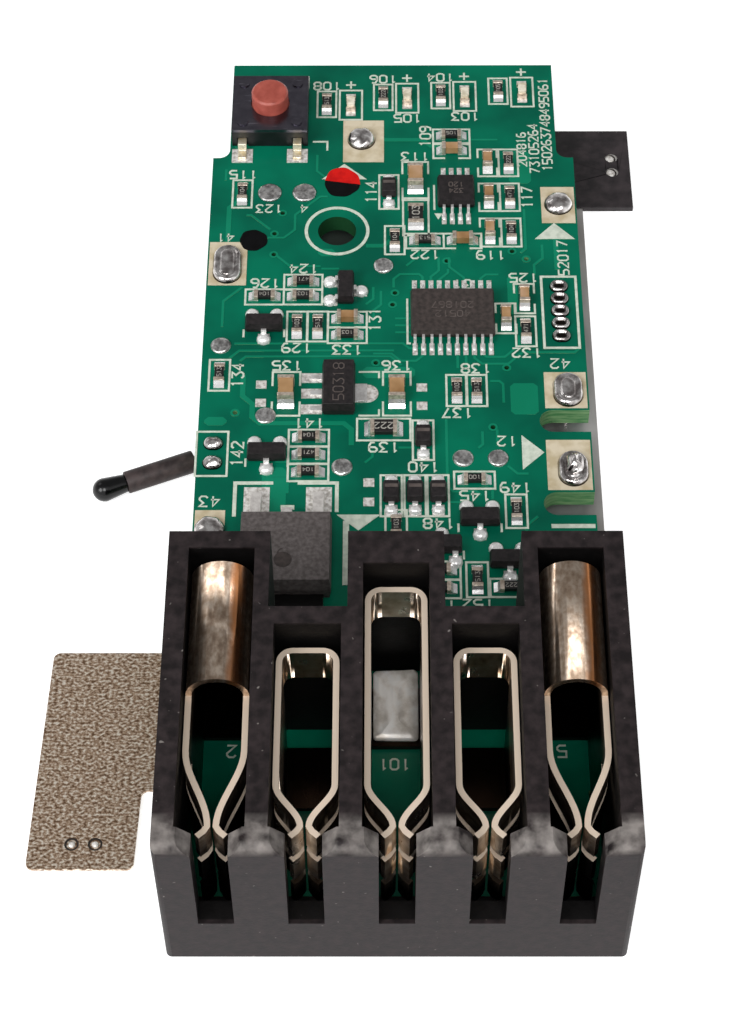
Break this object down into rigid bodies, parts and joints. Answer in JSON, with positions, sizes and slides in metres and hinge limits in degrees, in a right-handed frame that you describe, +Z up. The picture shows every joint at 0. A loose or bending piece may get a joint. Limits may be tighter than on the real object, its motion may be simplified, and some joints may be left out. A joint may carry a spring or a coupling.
{
  "type": "battery management board",
  "caption": "Green battery management board with a black blade-terminal block, a push button, status lamps, chip parts, a nickel tab and a thermistor.",
  "frame": {"origin": "middle of the terminal block's mating face, level with the top copper of the board", "axes": "+X across the board, +Y from the mating face towards the push button, +Z up from the component side"},
  "size_m": [0.0447, 0.0806, 0.0171],
  "materials": {
    "laminate": "glass-epoxy laminate with glossy green solder resist",
    "block_nylon": "moulded glass-filled nylon, black",
    "contact_nickel": "nickel-plated copper alloy sheet",
    "solder": "bright tin solder",
    "switch_nylon": "moulded nylon, black",
    "switch_cover": "blackened steel",
    "plunger_red": "moulded, brick red",
    "leg_brass": "plated brass",
    "tinned_lead": "tin-plated copper alloy",
    "epoxy": "moulded epoxy, black",
    "resistor_ceramic": "black glaze on ceramic",
    "capacitor_ceramic": "fired ceramic, tan",
    "end_metal": "tin-plated ends",
    "lens": "moulded clear lens over a pale base",
    "pad_tin": "tinned copper",
    "strip_nickel": "nickel-plated strip",
    "insulation": "black insulating film",
    "bead_epoxy": "dipped epoxy, glossy black",
    "sleeve_plastic": "shrunk polyolefin sleeve, dark grey"
  },
  "bodies": {
    "circuit": {"board": "laminate", "terminal_block": "block_nylon", "power_contact_1": "contact_nickel", "signal_contact_2": "contact_nickel", "signal_contact_3": "contact_nickel", "signal_contact_4": "contact_nickel", "power_contact_5": "contact_nickel", "tail_solder": "solder", "switch_base": "switch_nylon", "switch_cover": "switch_cover", "switch_legs": "leg_brass", "controller": "epoxy", "controller_leads": "tinned_lead", "amplifier": "epoxy", "amplifier_leads": "tinned_lead", "regulator": "epoxy", "regulator_leads": "tinned_lead", "power_transistor": "epoxy", "power_transistor_leads": "tinned_lead", "transistor_1": "epoxy", "transistor_2": "epoxy", "transistor_3": "epoxy", "transistor_4": "epoxy", "transistor_5": "epoxy", "transistor_6": "epoxy", "transistor_leads": "tinned_lead", "diode_1": "epoxy", "diode_2": "epoxy", "diode_3": "epoxy", "diode_4": "epoxy", "diode_5": "epoxy", "diode_leads": "tinned_lead", "resistors_small": "resistor_ceramic", "resistors_large": "resistor_ceramic", "capacitors_small": "capacitor_ceramic", "capacitors_large": "capacitor_ceramic", "chip_ends": "end_metal", "lamp_1": "lens", "lamp_2": "lens", "lamp_3": "lens", "lamp_4": "lens", "lamp_ends": "end_metal", "pads": "pad_tin", "chip_solder": "solder", "joint_solder": "solder", "nickel_tab": "strip_nickel", "bus_strip": "strip_nickel", "flag_sleeve": "insulation", "thermistor_bead": "bead_epoxy", "thermistor_sleeve": "sleeve_plastic", "thermistor_leads": "tinned_lead"},
    "plunger": {"switch_plunger": "plunger_red"}
  },
  "joints": [
    {"name": "plunger_press", "type": "slide", "parent": "circuit", "child": "plunger", "axis": [0, 0, -1], "range_m": [0, 0.00025], "stiffness_N_per_m": 100, "springref_m": -0.0002}
  ]
}
